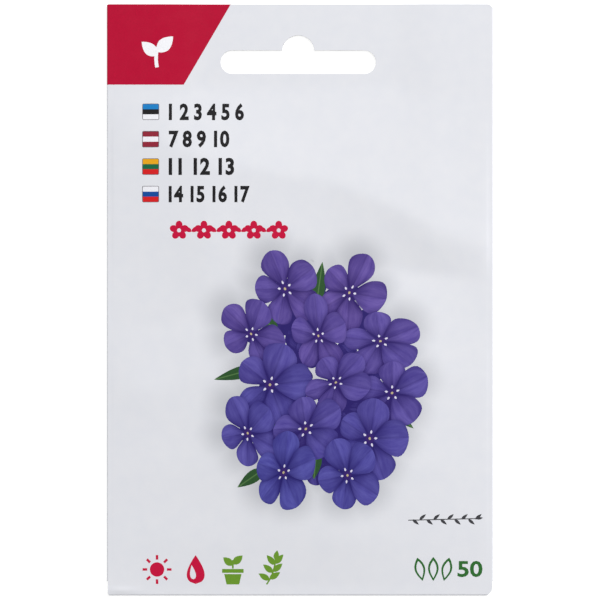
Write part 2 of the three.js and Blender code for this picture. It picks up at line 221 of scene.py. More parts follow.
def relief_grid():
    """Heights of the front panel's middle layer at the grid's points, with a row for each y."""
    xs = np.arange(GRID_X0, EDGE_X + GRID_MARGIN, GRID_STEP)
    ys = np.arange(GRID_Y0, TOP_Y + GRID_MARGIN, GRID_STEP)
    heights = softened(faceted_heights(xs, ys), CREASE_RADIUS)
    side = np.clip((EDGE_X - np.abs(xs)) / SIDE_BLEND, 0, 1)[None, :]
    foot = np.clip((ys - FOOT_Y) / FOOT_BLEND, 0, 1)[:, None]
    header = np.where(ys > HEADER_FOOT, HEADER_RUMPLE, 1.0)[:, None]
    uneven = np.array([[layered_noise(x, y, RUMPLES) for x in xs] for y in ys])
    blend = np.minimum(side, foot)
    crease = bump(xs, ys[:, None], *FOOT_CREASE) * np.clip((ys - FOOT_Y) / GRID_STEP, 0, 1)[:, None]
    return EDGE_Z + (heights - EDGE_Z + uneven * header) * blend + crease


HEIGHTS = relief_grid()


def front_z(x, y):
    """Height of the front panel's middle layer."""
    u = (x - GRID_X0) / GRID_STEP
    v = (y - GRID_Y0) / GRID_STEP
    i, j = int(u), int(v)
    a, b = u - i, v - j
    low = HEIGHTS[j, i] * (1 - a) + HEIGHTS[j, i + 1] * a
    high = HEIGHTS[j + 1, i] * (1 - a) + HEIGHTS[j + 1, i + 1] * a
    return float(low * (1 - b) + high * b)


def front_normal(x, y):
    step = GRID_STEP
    slope_x = (front_z(x + step, y) - front_z(x - step, y)) / (2 * step)
    slope_y = (front_z(x, y + step) - front_z(x, y - step)) / (2 * step)
    return Vector((-slope_x, -slope_y, 1)).normalized()


# The envelope is cut from one flat blank. A place on the blank is (u, v): the front panel lies
# there as it does in the packet, the flaps beside it and the back panel below it.


def place_flap(u, v):
    side = copysign(1, u)
    along = abs(u) - EDGE_X
    if along < SIDE_ARC:
        angle = along / SIDE_BEND
        normal = Vector((side * sin(angle), 0, cos(angle)))
        return Vector((side * EDGE_X, v, (EDGE_Z + FLAP_Z) / 2)) + normal * SIDE_BEND, normal
    return Vector((side * (EDGE_X - along + SIDE_ARC), v, FLAP_Z)), Vector((0, 0, -1))


def foot_narrowing(x, y):
    """How far a rounded bottom corner draws the side in at the height y, as a share."""
    radius = FOOT_CORNER_RIGHT if x > 0 else FOOT_CORNER_LEFT
    past = min(max(radius - HEIGHT / 2 - y, 0.0), radius)
    return 1 - (radius - sqrt(radius**2 - past**2)) / EDGE_X


def place_back(u, v):
    along = FOOT_Y - v
    if along < FOOT_ARC:
        angle = along / FOOT_BEND
        normal = Vector((0, -sin(angle), cos(angle)))
        squeeze = 1 + (BACK_SQUEEZE - 1) * angle / pi
        x = u * squeeze * foot_narrowing(u, FOOT_Y - FOOT_BEND * sin(angle))
        return Vector((x, FOOT_Y, (EDGE_Z + BACK_Z) / 2)) + normal * FOOT_BEND, normal
    y = FOOT_Y + along - FOOT_ARC
    return Vector((u * BACK_SQUEEZE * foot_narrowing(u, y), y, BACK_Z)), Vector((0, 0, -1))


def place(u, v):
    """Where a point of the blank's middle layer lies in the packet, and its outward normal."""
    if abs(u) > EDGE_X:
        return place_flap(u, v)
    if v < FOOT_Y:
        return place_back(u, v)
    rim = abs(u) > EDGE_X - ON_EDGE or v < FOOT_Y + ON_EDGE
    normal = Vector((0, 0, 1)) if rim else front_normal(u, v)
    return Vector((u * foot_narrowing(u, v), v, front_z(u, v))), normal


def top_limit(x):
    """Height of the cut top edge, with its two round corners."""
    radius = CORNER_RIGHT if x > 0 else CORNER_LEFT
    past = abs(x) - (WIDTH / 2 - radius)
    if past <= 0:
        return TOP_Y
    return TOP_Y - radius + sqrt(max(radius**2 - past**2, 0))


def back_v(y):
    """The blank's v for a height y on the back panel."""
    return FOOT_Y - FOOT_ARC - (y - FOOT_Y)


def taper(u):
    """How far the blank's edge is slanted there, which it is along the flaps."""
    return FLAP_TAPER * max(abs(u) - EDGE_X - SIDE_ARC, 0) / FLAP_WIDTH


def upper_v(u):
    """The blank's upper edge."""
    x = place_flap(u, 0)[0].x if abs(u) > EDGE_X else u
    return min(top_limit(x), TOP_Y - taper(u))


def lower_v(u):
    """The blank's lower edge."""
    if abs(u) > EDGE_X:
        return FLAP_END_Y + taper(u)
    return back_v(top_limit(u * BACK_SQUEEZE))


def blank_columns(cell=CELL, rim_cell=RIM_CELL):
    half = stations([EDGE_X - RIM_WIDTH, EDGE_X], rim_cell)[1:]
    half += [EDGE_X + SIDE_ARC * k / SIDE_STEPS for k in range(1, SIDE_STEPS + 1)]
    half += stations([EDGE_X + SIDE_ARC, FLAP_EDGE], BACK_CELL)[1:]
    middle = stations([RIM_WIDTH - EDGE_X, EDGE_X - RIM_WIDTH], cell)
    return [-u for u in reversed(half)] + middle + half


def blank_rows(cell=CELL, rim_cell=RIM_CELL):
    rows = stations([TOP_Y, TOP_Y - RIM_WIDTH], rim_cell)
    rows += stations([TOP_Y - RIM_WIDTH, FOOT_Y + RIM_WIDTH], cell)[1:]
    rows += stations([FOOT_Y + RIM_WIDTH, FOOT_Y], rim_cell)[1:]
    rows += [FOOT_Y - FOOT_ARC * k / FOOT_STEPS for k in range(1, FOOT_STEPS + 1)]
    fold_end = FOOT_Y - FOOT_ARC
    rows += stations([fold_end, fold_end - RIM_WIDTH], rim_cell)[1:]
    return rows + stations([fold_end - RIM_WIDTH, back_v(TOP_Y)], BACK_CELL)[1:]


def blank_outline(columns, rows):
    """The blank's cut edge, counter-clockwise."""
    left = columns.index(-EDGE_X)
    right = len(columns) - 1 - left
    lower = [(u, lower_v(u)) for u in columns[left : right + 1]]
    sides = [v for v in rows if lower[0][1] + 0.1 < v < FLAP_END_Y - 0.1]
    outline = [(u, lower_v(u)) for u in columns[:left]] + [(-EDGE_X, FLAP_END_Y)]
    outline += [(-EDGE_X, v) for v in sides] + lower
    outline += [(EDGE_X, v) for v in reversed(sides)] + [(EDGE_X, FLAP_END_Y)]
    outline += [(u, lower_v(u)) for u in columns[right + 1 :]]
    outline += [(u, upper_v(u)) for u in reversed(columns)]
    return outline


def slot_outline():
    """The hang slot with its peg notch, counter-clockwise."""
    half = SLOT_HEIGHT / 2
    reach = (SLOT_LENGTH - SLOT_HEIGHT) / 2
    turn = asin((SLOT_CENTRE_Y + half - NOTCH_CENTRE_Y) / NOTCH_RADIUS)
    right = arc(SLOT_CENTRE_X + reach, SLOT_CENTRE_Y, half, -pi / 2, pi / 2)
    notch = arc(SLOT_CENTRE_X, NOTCH_CENTRE_Y, NOTCH_RADIUS, turn, pi - turn)
    left = arc(SLOT_CENTRE_X - reach, SLOT_CENTRE_Y, half, pi / 2, 3 * pi / 2)
    return right + notch + left


# Outlines that the print is made of. Each is a list of points.


def area_of(outline):
    """Twice the outline's area, below zero where it runs clockwise."""
    return sum(a[0] * b[1] - b[0] * a[1] for a, b in zip(outline, outline[1:] + outline[:1]))


def arc(cx, cy, radius, start, end, steps=ARC_STEPS):
    angles = [start + (end - start) * k / steps for k in range(steps + 1)]
    return [(cx + radius * cos(a), cy + radius * sin(a)) for a in angles]


def ellipse(cx, cy, rx, ry, turn=0.0, steps=20):
    c, s = cos(turn), sin(turn)
    points = []
    for k in range(steps):
        angle = 2 * pi * k / steps
        x, y = rx * cos(angle), ry * sin(angle)
        points.append((cx + x * c - y * s, cy + x * s + y * c))
    return points


def disc(cx, cy, radius, steps=20):
    return ellipse(cx, cy, radius, radius, steps=steps)


def box(x0, y0, x1, y1, radius=0.0):
    """An upright box with round corners."""
    if radius <= 0:
        return [(x0, y0), (x1, y0), (x1, y1), (x0, y1)]
    points = []
    centres = [(x1 - radius, y1 - radius), (x0 + radius, y1 - radius)]
    centres += [(x0 + radius, y0 + radius), (x1 - radius, y0 + radius)]
    for k, (cx, cy) in enumerate(centres):
        points += arc(cx, cy, radius, k * pi / 2, (k + 1) * pi / 2, 4)
    return points


def ribbon(points, width):
    """A stroke of even width along a bent line."""
    left, right = [], []
    for i, point in enumerate(points):
        before = Vector(points[max(i - 1, 0)])
        after = Vector(points[min(i + 1, len(points) - 1)])
        side = (after - before).normalized() * width / 2
        left.append((point[0] - side.y, point[1] + side.x))
        right.append((point[0] + side.y, point[1] - side.x))
    return right + left[::-1]


def drop(x, y, length, width, angle, point):
    """A leaf or drop: round at its foot at (x, y) and drawn out to a point along the angle."""
    shares = [k / DROP_STEPS for k in range(DROP_STEPS + 1)]
    side = [(t * length, width / 2 * sin(pi * t**point) ** 0.9) for t in shares]
    profile = side + [(along, -across) for along, across in reversed(side[1:-1])]
    c, s = cos(angle), sin(angle)
    return [(x + a * c - b * s, y + a * s + b * c) for a, b in profile]


def bend_line(start, end, sag):
    """A line from start to end that bends aside by sag at its middle."""
    a, b = Vector(start), Vector(end)
    side = (b - a).orthogonal().normalized() * sag
    shares = [k / 10 for k in range(11)]
    return [tuple(a.lerp(b, t) + side * 4 * t * (1 - t)) for t in shares]


# The print: shapes painted one over another on the blank. Each has an outline, an ink, for a
# petal or leaf the frame that its pattern uses, and a tone, which for a shade is its depth.

Shape = namedtuple("Shape", "outline ink pattern tone")
shapes = []


def paint(outline, ink, pattern=None, tone=0.0):
    shapes.append(Shape(outline if area_of(outline) > 0 else outline[::-1], ink, pattern, tone))


def paint_drop(x, y, length, width, degrees, point, ink):
    paint(drop(x, y, length, width, radians(degrees), point), ink)


def on_back(outline):
    """Moves an outline drawn as the back is seen to its place on the blank."""
    return [(-x / BACK_SQUEEZE, back_v(y)) for x, y in outline]


def loops_of(mesh):
    """The closed rims of a flat mesh, each with its inside on the left."""
    rims = open_edges([list(polygon.vertices) for polygon in mesh.polygons])
    return [[tuple(mesh.vertices[i].co[:2]) for i in loop] for loop in closed_chains(rims)]


def digit_loops(text, weight):
    """Outlines of plain digits, one unit to their size, from the built-in font."""
    curve = bpy.data.curves.new("digits", "FONT")
    curve.body = text
    curve.resolution_u = 3
    curve.offset = weight
    made = add_object("digits", curve)
    made.data.update_tag()
    mesh = made.evaluated_get(bpy.context.evaluated_depsgraph_get()).to_mesh()
    loops = loops_of(mesh)
    made.to_mesh_clear()
    bpy.data.objects.remove(made)
    bpy.data.curves.remove(curve)
    return loops


def paint_digits(text, x0, x1, y0, y1, ink, weight, turn_over=None):
    """Digits that fill a box exactly. What they enclose stays paper."""
    loops = digit_loops(text, weight)
    us, vs = zip(*[point for loop in loops for point in loop])
    wide = (x1 - x0) / (max(us) - min(us))
    high = (y1 - y0) / (max(vs) - min(vs))
    for loop in loops:
        outline = [(x0 + (u - min(us)) * wide, y0 + (v - min(vs)) * high) for u, v in loop]
        paint(turn_over(outline) if turn_over else outline, ink if area_of(loop) > 0 else "paper")


# The flower spray. Each petal is drawn in its own frame: along it from 0 to 1, and across it
# from -1 to 1 at its widest.

PETAL_ROOT = 1.1
PETAL_TIP = 0.6
PETAL_PEAK = PETAL_ROOT / (PETAL_ROOT + PETAL_TIP)
PETAL_GAIN = 1 / (PETAL_PEAK**PETAL_ROOT * (1 - PETAL_PEAK) ** PETAL_TIP)
# How much a petal's rim waves, across it and along it.
WAVE_ACROSS = 0.07
WAVE_ALONG = 0.02
# How far from its blossom's middle a petal starts, in millimetres.
PETAL_START = 0.35
# A petal shades what lies under it: how far past its rim, and how much.
SHADE_RIMS = [(0.95, 0.08), (0.5, 0.12), (0.2, 0.16)]


def petal_width(t):
    """Half width of a petal, as a share of its greatest."""
    return PETAL_GAIN * t**PETAL_ROOT * (1 - t) ** PETAL_TIP


def petal_outline(rand):
    """A petal with a slightly waved rim."""
    phase = rand.uniform(0, 6)
    sides = []
    for side in (1, -1):
        points = []
        for k in range(PETAL_STEPS + 1):
            t = 0.5 - 0.5 * cos(pi * k / PETAL_STEPS)
            wave = 1 + WAVE_ACROSS * t * sin(9 * t + phase + 2 * side)
            points.append((t * (1 + WAVE_ALONG * sin(5 * t + phase)), side * petal_width(t) * wave))
        sides.append(points)
    return sides[0] + sides[1][-2:0:-1]


class Petal:
    """The frame of a petal or leaf: its foot on the print and the matrix that it is drawn with."""

    def __init__(self, foot, matrix):
        self.foot = Vector(foot)
        self.matrix = matrix
        self.inverse = matrix.inverted()

    def at(self, along, across=0):
        return self.foot + self.matrix @ Vector((along, across))

    def draw(self, outline, grow=0.0):
        """Its outline on the print, moved outwards by grow."""
        middle = self.at(0.55)
        points = [self.at(*spot) for spot in outline]
        return [tuple(point + (point - middle).normalized() * grow) for point in points]

    def local(self, x, y):
        return self.inverse @ (Vector((x, y)) - self.foot)


def turned(angle):
    return Matrix(((cos(angle), -sin(angle)), (sin(angle), cos(angle))))


# The middle and half the width of every petal, for the shadow that is printed round them. The
# middle lies at this share of the petal's length.
PETAL_MIDDLE = 0.62
petal_discs = []


def paint_petal(centre, angle, length, width, squash, tone, rand):
    turn = squash @ turned(angle)
    foot = Vector(centre) + turn @ Vector((PETAL_START, 0))
    petal = Petal(foot, turn @ Matrix(((length, 0), (0, width / 2))))
    outline = petal_outline(rand)
    for grow, shade in SHADE_RIMS:
        paint(petal.draw(outline, grow), "shade", tone=shade)
    paint(petal.draw(outline), "petal", petal, tone)
    petal_discs.append((*petal.at(PETAL_MIDDLE), width / 2))


# Petals of a blossom from its back to its front. The length and width of an upper and of a lower
# one and of a mark, and the radii of the eye behind them, the throat and the pollen in it, are
# shares of the blossom's size.
PETAL_ORDER = [2, 1, 3, 0, 4]
UPPER_PETAL = (0.86, 0.7)
LOWER_PETAL = (1.0, 0.86)
MARK = (0.09, 0.055)
EYE = 0.27
THROAT = 0.12
POLLEN = 0.035
# How much its petals differ in angle, size and tone.
ANGLE_SPREAD = 0.09
SIZE_SPAN = (0.94, 1.05)
TONE_SPREAD = 0.1


def fifth(k):
    """How far petal k is turned from the first."""
    return k * 2 * pi / 5


def paint_blossom(x, y, size, turn, view_turn, view_squash, tone, rand):
    """Five broad petals round a dark throat with small pale marks."""
    squash = turned(view_turn) @ Matrix(((1, 0), (0, view_squash))) @ turned(-view_turn)

    def lay(outline, ink):
        placed = [squash @ Vector(p) for p in outline]
        paint([(x + p.x, y + p.y) for p in placed], ink)

    lay(disc(0, 0, size * EYE), "eye")
    for k in PETAL_ORDER:
        angle = turn + fifth(k) + rand.uniform(-ANGLE_SPREAD, ANGLE_SPREAD)
        long, wide = UPPER_PETAL if k in (1, 2) else LOWER_PETAL
        length = size * long * rand.uniform(*SIZE_SPAN)
        width = size * wide * rand.uniform(*SIZE_SPAN)
        petal_tone = tone + rand.uniform(-TONE_SPREAD, TONE_SPREAD)
        paint_petal((x, y), angle, length, width, squash, petal_tone, rand)
    lay(disc(0, 0, size * THROAT), "throat")
    for k in range(5):
        angle = turn + fifth(k)
        foot = (THROAT * size * cos(angle), THROAT * size * sin(angle))
        lay(drop(*foot, size * MARK[0], size * MARK[1], angle, 0.8), "mark")
    lay(disc(0, 0, size * POLLEN, 10), "pollen")


def paint_far_blossom(x, y, turn, rand):
    """A blossom deep in the bunch, of which only shaded petals show."""
    paint(disc(x, y, FAR_SIZE * FAR_EYE), "eye")
    for k in range(5):
        width = FAR_SIZE * FAR_WIDTH
        paint_petal((x, y), turn + fifth(k), FAR_SIZE, width, Matrix.Identity(2), FAR_TONE, rand)
    paint(disc(x, y, FAR_SIZE * FAR_REACH), "shade", tone=FAR_SHADE)


def paint_leaf(x, y, length, angle):
    leaf = Petal((x, y), turned(angle) @ Matrix(((length, 0), (0, LEAF_WIDTH / 2))))
    paint(leaf.draw(drop(0, 0, 1, 2, 0, 0.7)), "leaf", leaf)


# Blossoms from the back of the bunch to its front: x and y from the bunch's middle, and the turn
# in degrees.
SPRAY_X = 3.4
SPRAY_Y = -16.0
SPRAY = [
    (-6.5, 18.3, 110),
    (6.8, 17.5, 60),
    (-13.5, 9.0, 140),
    (13.2, 7.5, 30),
    (0.4, 8.6, 95),
    (-9.6, -1.5, 75),
    (15.6, -3.2, 20),
    (4.0, -1.0, 50),
    (-14.2, -11.5, 120),
    (11.0, -12.6, 75),
    (-2.2, -10.6, 30),
    (-6.8, -19.6, 85),
    (6.4, -20.2, 115),
]
BLOSSOM_SIZE = 8.2
# How much they differ in tone, which rises with their height, in the way that they face, in size
# and in how narrow they look from there.
BLOSSOM_TONE = 0.5
TONE_RISE = 0.022
BLOSSOM_TONE_SPREAD = 0.22
VIEW_SPREAD = 0.6
BLOSSOM_SIZE_SPAN = (0.94, 1.06)
SQUASH_SPAN = (0.72, 0.95)

# Blossoms behind the gaps between them: x, y and turn in degrees.
FAR_SPRAY = [
    (0.2, 15.2, 20),
    (-5.4, 11.6, 70),
    (7.2, 9.6, 40),
    (-4.6, 3.4, 10),
    (8.6, 2.2, 55),
    (-8.2, -6.4, 30),
    (5.0, -6.2, 0),
    (-0.4, -16.8, 60),
    (4.8, -12.6, 15),
]
# Their size in millimetres, and as shares of it the eye's radius, a petal's width and the reach
# of the shade on them, with the tone of their petals and the depth of that shade.
FAR_SIZE = 5.2
FAR_EYE = 0.6
FAR_WIDTH = 0.8
FAR_REACH = 1.1
FAR_TONE = 0.4
FAR_SHADE = 0.4

# Leaves between and beside the blossoms: x, y, angle in degrees and length.
LEAF_WIDTH = 2.6
LEAVES = [
    (-8, 10, 150, 6),
    (9, 3, 40, 6),
    (-3, 2, 200, 6),
    (3, -8, 250, 6),
    (-9, -7, 300, 5),
    (10, -5, 300, 5),
    (0, -15, 265, 6),
    (-12, 2, 195, 9.5),
    (13, -5, -38, 9),
    (-11, -19, 215, 6.5),
    (0, 15, 82, 9),
]


def paint_spray():
    rand = random.Random(11)
    far_rand = random.Random(12)
    for x, y, turn in FAR_SPRAY:
        paint_far_blossom(SPRAY_X + x, SPRAY_Y + y, radians(turn), far_rand)
    for x, y, angle, length in LEAVES:
        paint_leaf(SPRAY_X + x, SPRAY_Y + y, length, radians(angle))
    for x, y, turn in SPRAY:
        tone = BLOSSOM_TONE + TONE_RISE * y + rand.uniform(-BLOSSOM_TONE_SPREAD, BLOSSOM_TONE_SPREAD)
        view_turn = radians(turn) + rand.uniform(-VIEW_SPREAD, VIEW_SPREAD)
        size = BLOSSOM_SIZE * rand.uniform(*BLOSSOM_SIZE_SPAN)
        squash = rand.uniform(*SQUASH_SPAN)
        paint_blossom(SPRAY_X + x, SPRAY_Y + y, size, radians(turn), view_turn, squash, tone, rand)


# The rest of the front's print.

RED_TOP_X = -13.8
RED_FOOT_X = -24.1
RED_FOOT_Y = 44.6
BLEED = 1.5
SPROUT_X = -29.6
SPROUT_Y = 48.2


def paint_corner():
    """The red corner, which goes on round the side fold. Its foot bends with the paper."""
    outer = -EDGE_X - SIDE_ARC - BLEED
    foot = [(u, RED_FOOT_Y) for u in blank_columns() if outer < u < RED_FOOT_X]
    rise = stations([RED_FOOT_Y, TOP_Y + 1], CELL)
    lean = (RED_TOP_X - RED_FOOT_X) / (TOP_Y + 1 - RED_FOOT_Y)
    slant = [(RED_FOOT_X + (v - RED_FOOT_Y) * lean, v) for v in rise]
    paint([(outer, RED_FOOT_Y), *foot, *slant, (outer, TOP_Y + 1)], "crimson")
    stem = bend_line((SPROUT_X, SPROUT_Y), (SPROUT_X + 0.1, SPROUT_Y + 4.2), 0.25)
    paint(ribbon(stem, 0.75), "white")
    paint_drop(SPROUT_X, SPROUT_Y + 2.4, 4.3, 2.5, 138, 0.85, "white")
    paint_drop(SPROUT_X, SPROUT_Y + 3.2, 4.6, 2.7, 44, 0.85, "white")


FLAG_X = -32.65
FLAG_WIDE = 3.5
FLAG_HIGH = 3.4
FLAG_RADIUS = 0.3
FLAG_RIM = 0.12
FLAGS = [
    (38.96, ("flag_sky", "ink_black", "flag_white")),
    (33.27, ("flag_maroon", "flag_white", "flag_maroon")),
    (27.59, ("flag_gold", "flag_green", "flag_red")),
    (21.9, ("flag_white", "flag_blue", "flag_red")),
]
# Beside the flags stand rows of plain counting numbers, each up to its own x.
ROW_X = -27.15
ROWS = [("1 2 3 4 5 6", -11.6), ("7 8 9 10", -14.6), ("11 12 13", -13.6), ("14 15 16 17", -10.4)]
ROW_HIGH = 3.6

# How much bolder than the font the rows, the number of seeds and the calendar's numbers are.
ROW_WEIGHT = 0.04
SEED_WEIGHT = 0.025
CALENDAR_WEIGHT = 0.02


def paint_rows():
    for (y, stripes), (digits, end) in zip(FLAGS, ROWS):
        paint_flag(y, stripes)
        paint_digits(digits, ROW_X, end, y - ROW_HIGH / 2, y + ROW_HIGH / 2, "ink_black", ROW_WEIGHT)


def paint_flag(y, stripes):
    """Three stripes in a thin dark rim with round corners."""
    left, right = FLAG_X + FLAG_RIM, FLAG_X + FLAG_WIDE - FLAG_RIM
    top, bottom = y + FLAG_HIGH / 2 - FLAG_RIM, y - FLAG_HIGH / 2 + FLAG_RIM
    third = (top - bottom) / 3
    rim = box(left - FLAG_RIM, bottom - FLAG_RIM, right + FLAG_RIM, top + FLAG_RIM, FLAG_RADIUS)
    paint(rim, "flag_rim")
    field = box(left, bottom, right, top, FLAG_RADIUS - FLAG_RIM)
    paint(field, stripes[0])
    for k, ink in ((2, stripes[1]), (1, stripes[2])):
        paint([(x, min(y, bottom + k * third)) for x, y in field], ink)


def paint_ornament():
    """A line of small flowers and leaves, as high and as long as a line of print."""
    start, end, y, radius, count = -26.6, -2.8, 14.4, 1.6, 5
    pitch = (end - start - 2 * radius) / (count - 1)
    for k in range(count):
        x = start + radius + k * pitch
        paint_small_flower(x, y)
        if k < count - 1:
            for degrees in (150, 30):
                paint_drop(x + pitch / 2, y - 0.25, 2.0, 0.95, degrees, 0.8, "ink_red")


def paint_small_flower(x, y):
    reach = 1.15
    for degrees in range(90, 450, 72):
        a = radians(degrees)
        paint(ellipse(x + cos(a) * reach, y + sin(a) * reach, 0.85, 0.72, a, 14), "ink_red")
    paint(disc(x, y, 0.75), "ink_red")
    paint(disc(x, y, 0.42, 14), "paper")


# The signs at the foot. What each is made of is given in shares of its radius or height.


def paint_sun(x, y, radius, ink):
    paint(disc(x, y, radius * 0.5, 24), ink)
    for k in range(8):
        c, s = cos(pi / 4 * k), sin(pi / 4 * k)
        ends = [(x + c * radius * reach, y + s * radius * reach) for reach in (0.68, 1)]
        paint(ribbon(ends, radius * 0.17), ink)


def paint_water(x, y, height, ink):
    paint_drop(x, y - height / 2, height, height * 0.62, 90, 0.6, ink)
    paint_drop(x - height * 0.07, y - height * 0.34, height * 0.5, height * 0.2, 98, 0.6, "paper")


def paint_pot(x, y, height, ink):
    """A pot with a rim, and a seedling in it."""
    rim = height * 0.13
    top = y + height * 0.02
    foot = y - height / 2
    neck = top - rim - 0.25
    wide, middle, narrow = height * 0.36, height * 0.29, height * 0.21
    paint(box(x - wide, top - rim, x + wide, top, 0.1), ink)
    paint([(x - narrow, foot), (x + narrow, foot), (x + middle, neck), (x - middle, neck)], ink)
    paint(ribbon([(x, top + 0.1), (x, top + height * 0.3)], 0.35), ink)
    for rise, length, width, degrees in ((0.12, 0.42, 0.24, 140), (0.16, 0.44, 0.25, 42)):
        paint_drop(x, top + height * rise, height * length, height * width, degrees, 0.85, ink)


def paint_sprig(x, y, height, ink):
    """A bent stem with three pairs of leaves and one more at its tip."""
    stem = bend_line((x - height * 0.15, y - height / 2), (x + height * 0.15, y + height * 0.35), -0.4)
    paint(ribbon(stem, 0.32), ink)
    for k in range(3):
        foot_x, foot_y = stem[2 + 3 * k]
        for rise, degrees in ((0, 150 - 10 * k), (0.2, 32 + 8 * k)):
            paint_drop(foot_x, foot_y + rise, height * 0.42, height * 0.2, degrees, 0.8, ink)
    tip_x, tip_y = stem[-1]
    paint_drop(tip_x, tip_y - 0.2, height * 0.34, height * 0.18, 80, 0.8, ink)


def paint_foot_signs():
    y = -55.8
    paint_sun(-29.6, y, 3.0, "ink_red")
    paint_water(-21.6, y, 6.0, "ink_red")
    paint_pot(-13.9, y, 6.2, "ink_green")
    paint_sprig(-6.0, y, 6.2, "ink_green")


def paint_twig():
    """A fine twig as long and as high as a line of small print."""
    start, end, y, count = 22.4, 37.8, -45.4, 10
    paint(ribbon([(start, y - 0.15), (end - 1.0, y + 0.15)], 0.2), "ink_grey")
    for k in range(count):
        x = start + 0.9 + k * (end - start - 2.4) / (count - 1)
        paint_drop(x, y, 1.7, 0.62, 40 if k % 2 else -40, 0.75, "ink_grey")
    paint_drop(end - 1.2, y + 0.1, 1.3, 0.5, 10, 0.75, "ink_grey")


def paint_seed_sign():
    """Three outlined grains side by side, and the plain number of seeds."""
    y, length, width, stroke = -58.2, 5.0, 2.2, 0.42
    for x, degrees in ((25.4, 103), (27.6, 90), (29.8, 77)):
        a = radians(degrees)
        paint_drop(x, y, length, width, degrees, 1.1, "seed_green")
        x, foot = x + 1.5 * stroke * cos(a), y + 1.5 * stroke * sin(a)
        paint_drop(x, foot, length - 3.2 * stroke, width - 2 * stroke, degrees, 1.1, "paper")
    paint_digits("50", 32.6, 37.8, -57.4, -54.0, "seed_green", SEED_WEIGHT)


# The back's print: a sowing calendar with plain numbers, between two lines. Months count from 0.

CALENDAR_Y = -8
CALENDAR_CELL = 5.4
CALENDAR_GAP = 0.15
BACK_LINES = [(40.5, 41.3, "crimson"), (-52.3, -51.5, "ink_green")]
BACK_LINE_END = 37


def paint_calendar():
    for month in range(12):
        x0 = -6 * CALENDAR_CELL + month * CALENDAR_CELL
        x1 = x0 + CALENDAR_CELL
        ink = "ink_green" if 1 <= month <= 3 else "ink_violet" if 5 <= month <= 9 else "pale"
        field = box(x0 + CALENDAR_GAP, CALENDAR_Y, x1 - CALENDAR_GAP, CALENDAR_Y + 4.6, 0.5)
        paint(on_back(field), ink)
        label = str(month + 1)
        half = 0.15 if label == "1" else 0.55 * len(label)
        middle = x0 + CALENDAR_CELL / 2
        span = (middle - half, middle + half, CALENDAR_Y + 5.6, CALENDAR_Y + 7.5)
        paint_digits(label, *span, "ink_black", CALENDAR_WEIGHT, on_back)
    for y0, y1, ink in BACK_LINES:
        paint(on_back(box(-BACK_LINE_END, y0, BACK_LINE_END, y1)), ink)


def paint_everything():
    paint_corner()
    paint_rows()
    paint_ornament()
    paint_spray()
    paint_foot_signs()
    paint_twig()
    paint_seed_sign()
    paint_calendar()


# Materials.


def linear(red, green, blue):
    """A colour given as it looks on a screen, from 0 to 255, for the shader."""
    channels = []
    for value in (red, green, blue):
        c = value / 255
        channels.append(c / 12.92 if c <= 0.04045 else ((c + 0.055) / 1.055) ** 2.4)
    return (*channels, 1.0)


def tinted(colour, factors):
    """The colour with each of its channels multiplied by a factor."""
    return (*[min(channel * factor, 1) for channel, factor in zip(colour, factors)], 1.0)


# Most values of a noise lie in this span.
NOISE_SPAN = (0.3, 0.7)


class Nodes:
    """A short way to add shader nodes and link them."""

    def __init__(self, name):
        self.material = bpy.data.materials.new(name)
        self.material.use_nodes = True
        self.tree = self.material.node_tree
        self.shader = self.tree.nodes["Principled BSDF"]

    def put(self, socket, value):
        if isinstance(value, bpy.types.NodeSocket):
            self.tree.links.new(value, socket)
        else:
            socket.default_value = value

    def set(self, name, value):
        self.put(self.shader.inputs[name], value)

    def add(self, kind, inputs=(), **settings):
        node = self.tree.nodes.new(kind)
        for key, value in settings.items():
            setattr(node, key, value)
        for key, value in dict(inputs).items():
            self.put(node.inputs[key], value)
        return node

    def math(self, operation, a, b=0.0, clamp=False):
        return self.add("ShaderNodeMath", {0: a, 1: b}, operation=operation, use_clamp=clamp).outputs[0]

    def mix(self, share, a, b):
        return self.add("ShaderNodeMix", {0: share, 6: a, 7: b}, data_type="RGBA").outputs[2]

    def ranged(self, value, low, high, to_low, to_high):
        inputs = {0: value, 1: low, 2: high, 3: to_low, 4: to_high}
        return self.add("ShaderNodeMapRange", inputs).outputs[0]

    def noise(self, vector, size, detail, roughness):
        """Noise whose lumps are about size millimetres across."""
        inputs = {"Vector": vector, "Scale": 1 / (size * MM), "Detail": detail, "Roughness": roughness}
        return self.add("ShaderNodeTexNoise", inputs).outputs["Fac"]

    def attribute(self, name, output="Fac"):
        return self.add("ShaderNodeAttribute", attribute_name=name).outputs[output]

    def place(self):
        return self.add("ShaderNodeTexCoord").outputs["Object"]

    def rough(self, value, low, high):
        """Roughness between low and high, as the noise goes."""
        self.set("Roughness", self.ranged(value, *NOISE_SPAN, low, high))

    def bump(self, height, strength, depth):
        """Bumps up to depth millimetres high."""
        inputs = {"Strength": strength, "Distance": depth * MM, "Height": height}
        self.set("Normal", self.add("ShaderNodeBump", inputs).outputs[0])

    def coloured(self, share, a, b):
        """The finished material, with a colour between a and b."""
        self.set("Base Color", self.mix(share, a, b))
        return self.material


def laminate(n):
    """The thin matt film over paper and inks: faint fibres, soft unevenness and a dull sheen."""
    where = n.place()
    fibre = n.noise(where, 0.28, 3, 0.6)
    mottle = n.noise(where, 2.6, 3, 0.5)
    n.bump(n.math("ADD", n.math("MULTIPLY", fibre, 0.35), mottle), 0.25, 0.03)
    n.rough(mottle, 0.37, 0.48)
    n.set("Specular IOR Level", 0.2)
    return fibre, mottle


# How much paler and deeper an ink gets in places.
INK_SPREAD = 0.06
PAPER_COLOUR = linear(221, 222, 227)
PAPER_COOLING = (0.975, 0.98, 0.99)
HALO_COLOUR = linear(160, 162, 168)


